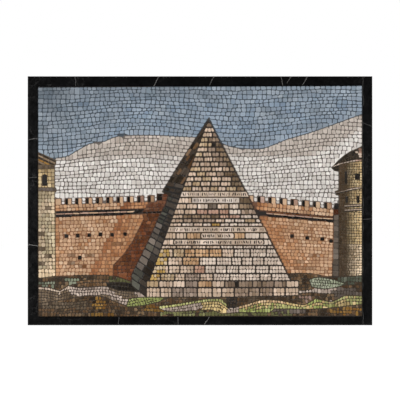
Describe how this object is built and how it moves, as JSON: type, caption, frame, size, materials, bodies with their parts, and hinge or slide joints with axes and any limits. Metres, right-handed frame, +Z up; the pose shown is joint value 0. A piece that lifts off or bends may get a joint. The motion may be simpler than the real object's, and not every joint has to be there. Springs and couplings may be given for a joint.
{
  "type": "mosaic panel",
  "caption": "Small wall plaque: a glass micromosaic view of a stone pyramid and a battlemented city wall, set flush in a black marble slab.",
  "frame": {"origin": "centre of the slab's flat back face, which lies against the wall", "axes": "+X to the viewer's right, +Z up, +Y out of the back into the wall; the mosaic faces -Y"},
  "size_m": [0.08, 0.008, 0.0578],
  "materials": {
    "marble": "polished",
    "mastic": "matte",
    "sky": "polished",
    "cloud": "polished",
    "limestone": "polished",
    "inscription": "polished",
    "shade": "polished",
    "brick": "polished",
    "brick_in_shadow": "polished",
    "tower": "polished",
    "roof": "polished",
    "grass": "polished",
    "path": "polished",
    "earth": "polished"
  },
  "bodies": {
    "root": {"marble_slab": "marble", "mastic_bed": "mastic", "inscription_band_1": "inscription", "inscription_band_2": "inscription", "inscription_band_3": "inscription", "inscription_band_4": "inscription", "inscription_band_5": "inscription", "pyramid_face_upper": "limestone", "pyramid_face_middle": "limestone", "pyramid_face_lower": "limestone", "pyramid_plinth": "limestone", "pyramid_face_shaded": "shade", "opening_at_the_foot": "shade", "grass_tuft": "grass", "grassy_verge": "grass", "brushwood": "grass", "stony_path": "path", "earth_right": "earth", "earth_left": "earth", "earth_in_front": "earth", "tower_left_roof": "roof", "tower_left": "tower", "tower_right_roof": "roof", "tower_right": "tower", "buttress": "path", "shadow_on_the_wall": "brick_in_shadow", "string_course_left": "shade", "battlements_left": "brick", "city_wall_left": "brick", "string_course_right": "shade", "battlements_right": "brick", "city_wall_right": "brick", "cloud_left": "cloud", "cloud_right": "cloud", "sky": "sky"}
  },
  "joints": []
}
